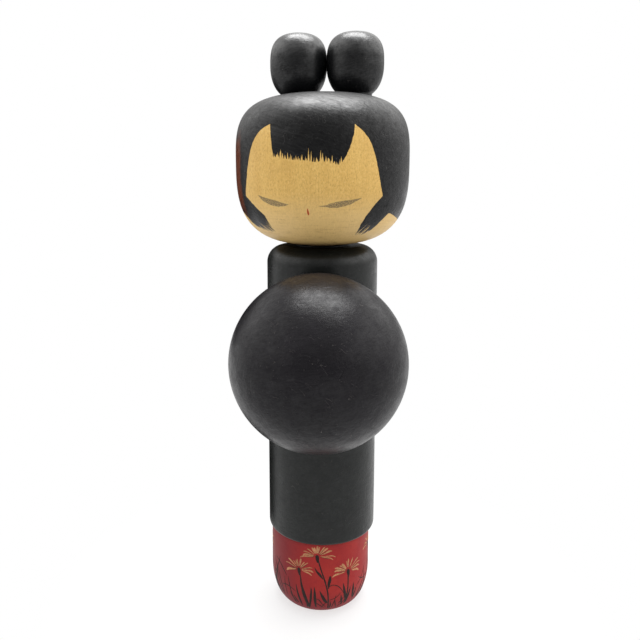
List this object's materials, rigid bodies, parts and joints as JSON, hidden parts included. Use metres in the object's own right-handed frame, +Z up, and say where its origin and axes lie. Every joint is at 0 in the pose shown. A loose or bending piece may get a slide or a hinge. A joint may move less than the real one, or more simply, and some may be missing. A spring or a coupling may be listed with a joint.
{
  "type": "kokeshi doll",
  "caption": "Turned wooden doll with a rounded square head that turns on its neck peg, hair buns, a cylindrical robe with a large front ball, and a rounded painted hem.",
  "frame": {"origin": "centre of the flat foot, on the robe's axis", "axes": "+Z up along the robe's axis, -Y towards the front, where the ball is"},
  "size_m": [0.0862, 0.1373, 0.2958],
  "materials": {
    "robe_lacquer": "satin black lacquer on turned wood",
    "ball_lacquer": "satin black lacquer on turned wood, lightly scuffed",
    "hair_lacquer": "satin black lacquer on turned wood",
    "hem_lacquer": "satin red lacquer on turned wood with brush-painted flowers",
    "head_wood": "waxed pale wood with black painted hair",
    "peg_wood": "plain turned wood"
  },
  "bodies": {
    "body": {"robe_body": "robe_lacquer", "hem_base": "hem_lacquer", "body_dowel": "peg_wood", "sleeve_ball": "ball_lacquer", "ball_dowel": "peg_wood", "neck_peg": "peg_wood"},
    "head": {"head": "head_wood", "bun_left": "hair_lacquer", "bun_right": "hair_lacquer", "bun_peg_left": "peg_wood", "bun_peg_right": "peg_wood"}
  },
  "joints": [
    {"name": "head_turn", "type": "hinge", "parent": "body", "child": "head", "pos_m": [0, 0, 0.1902], "axis": [0, 0, 1], "continuous": true}
  ]
}
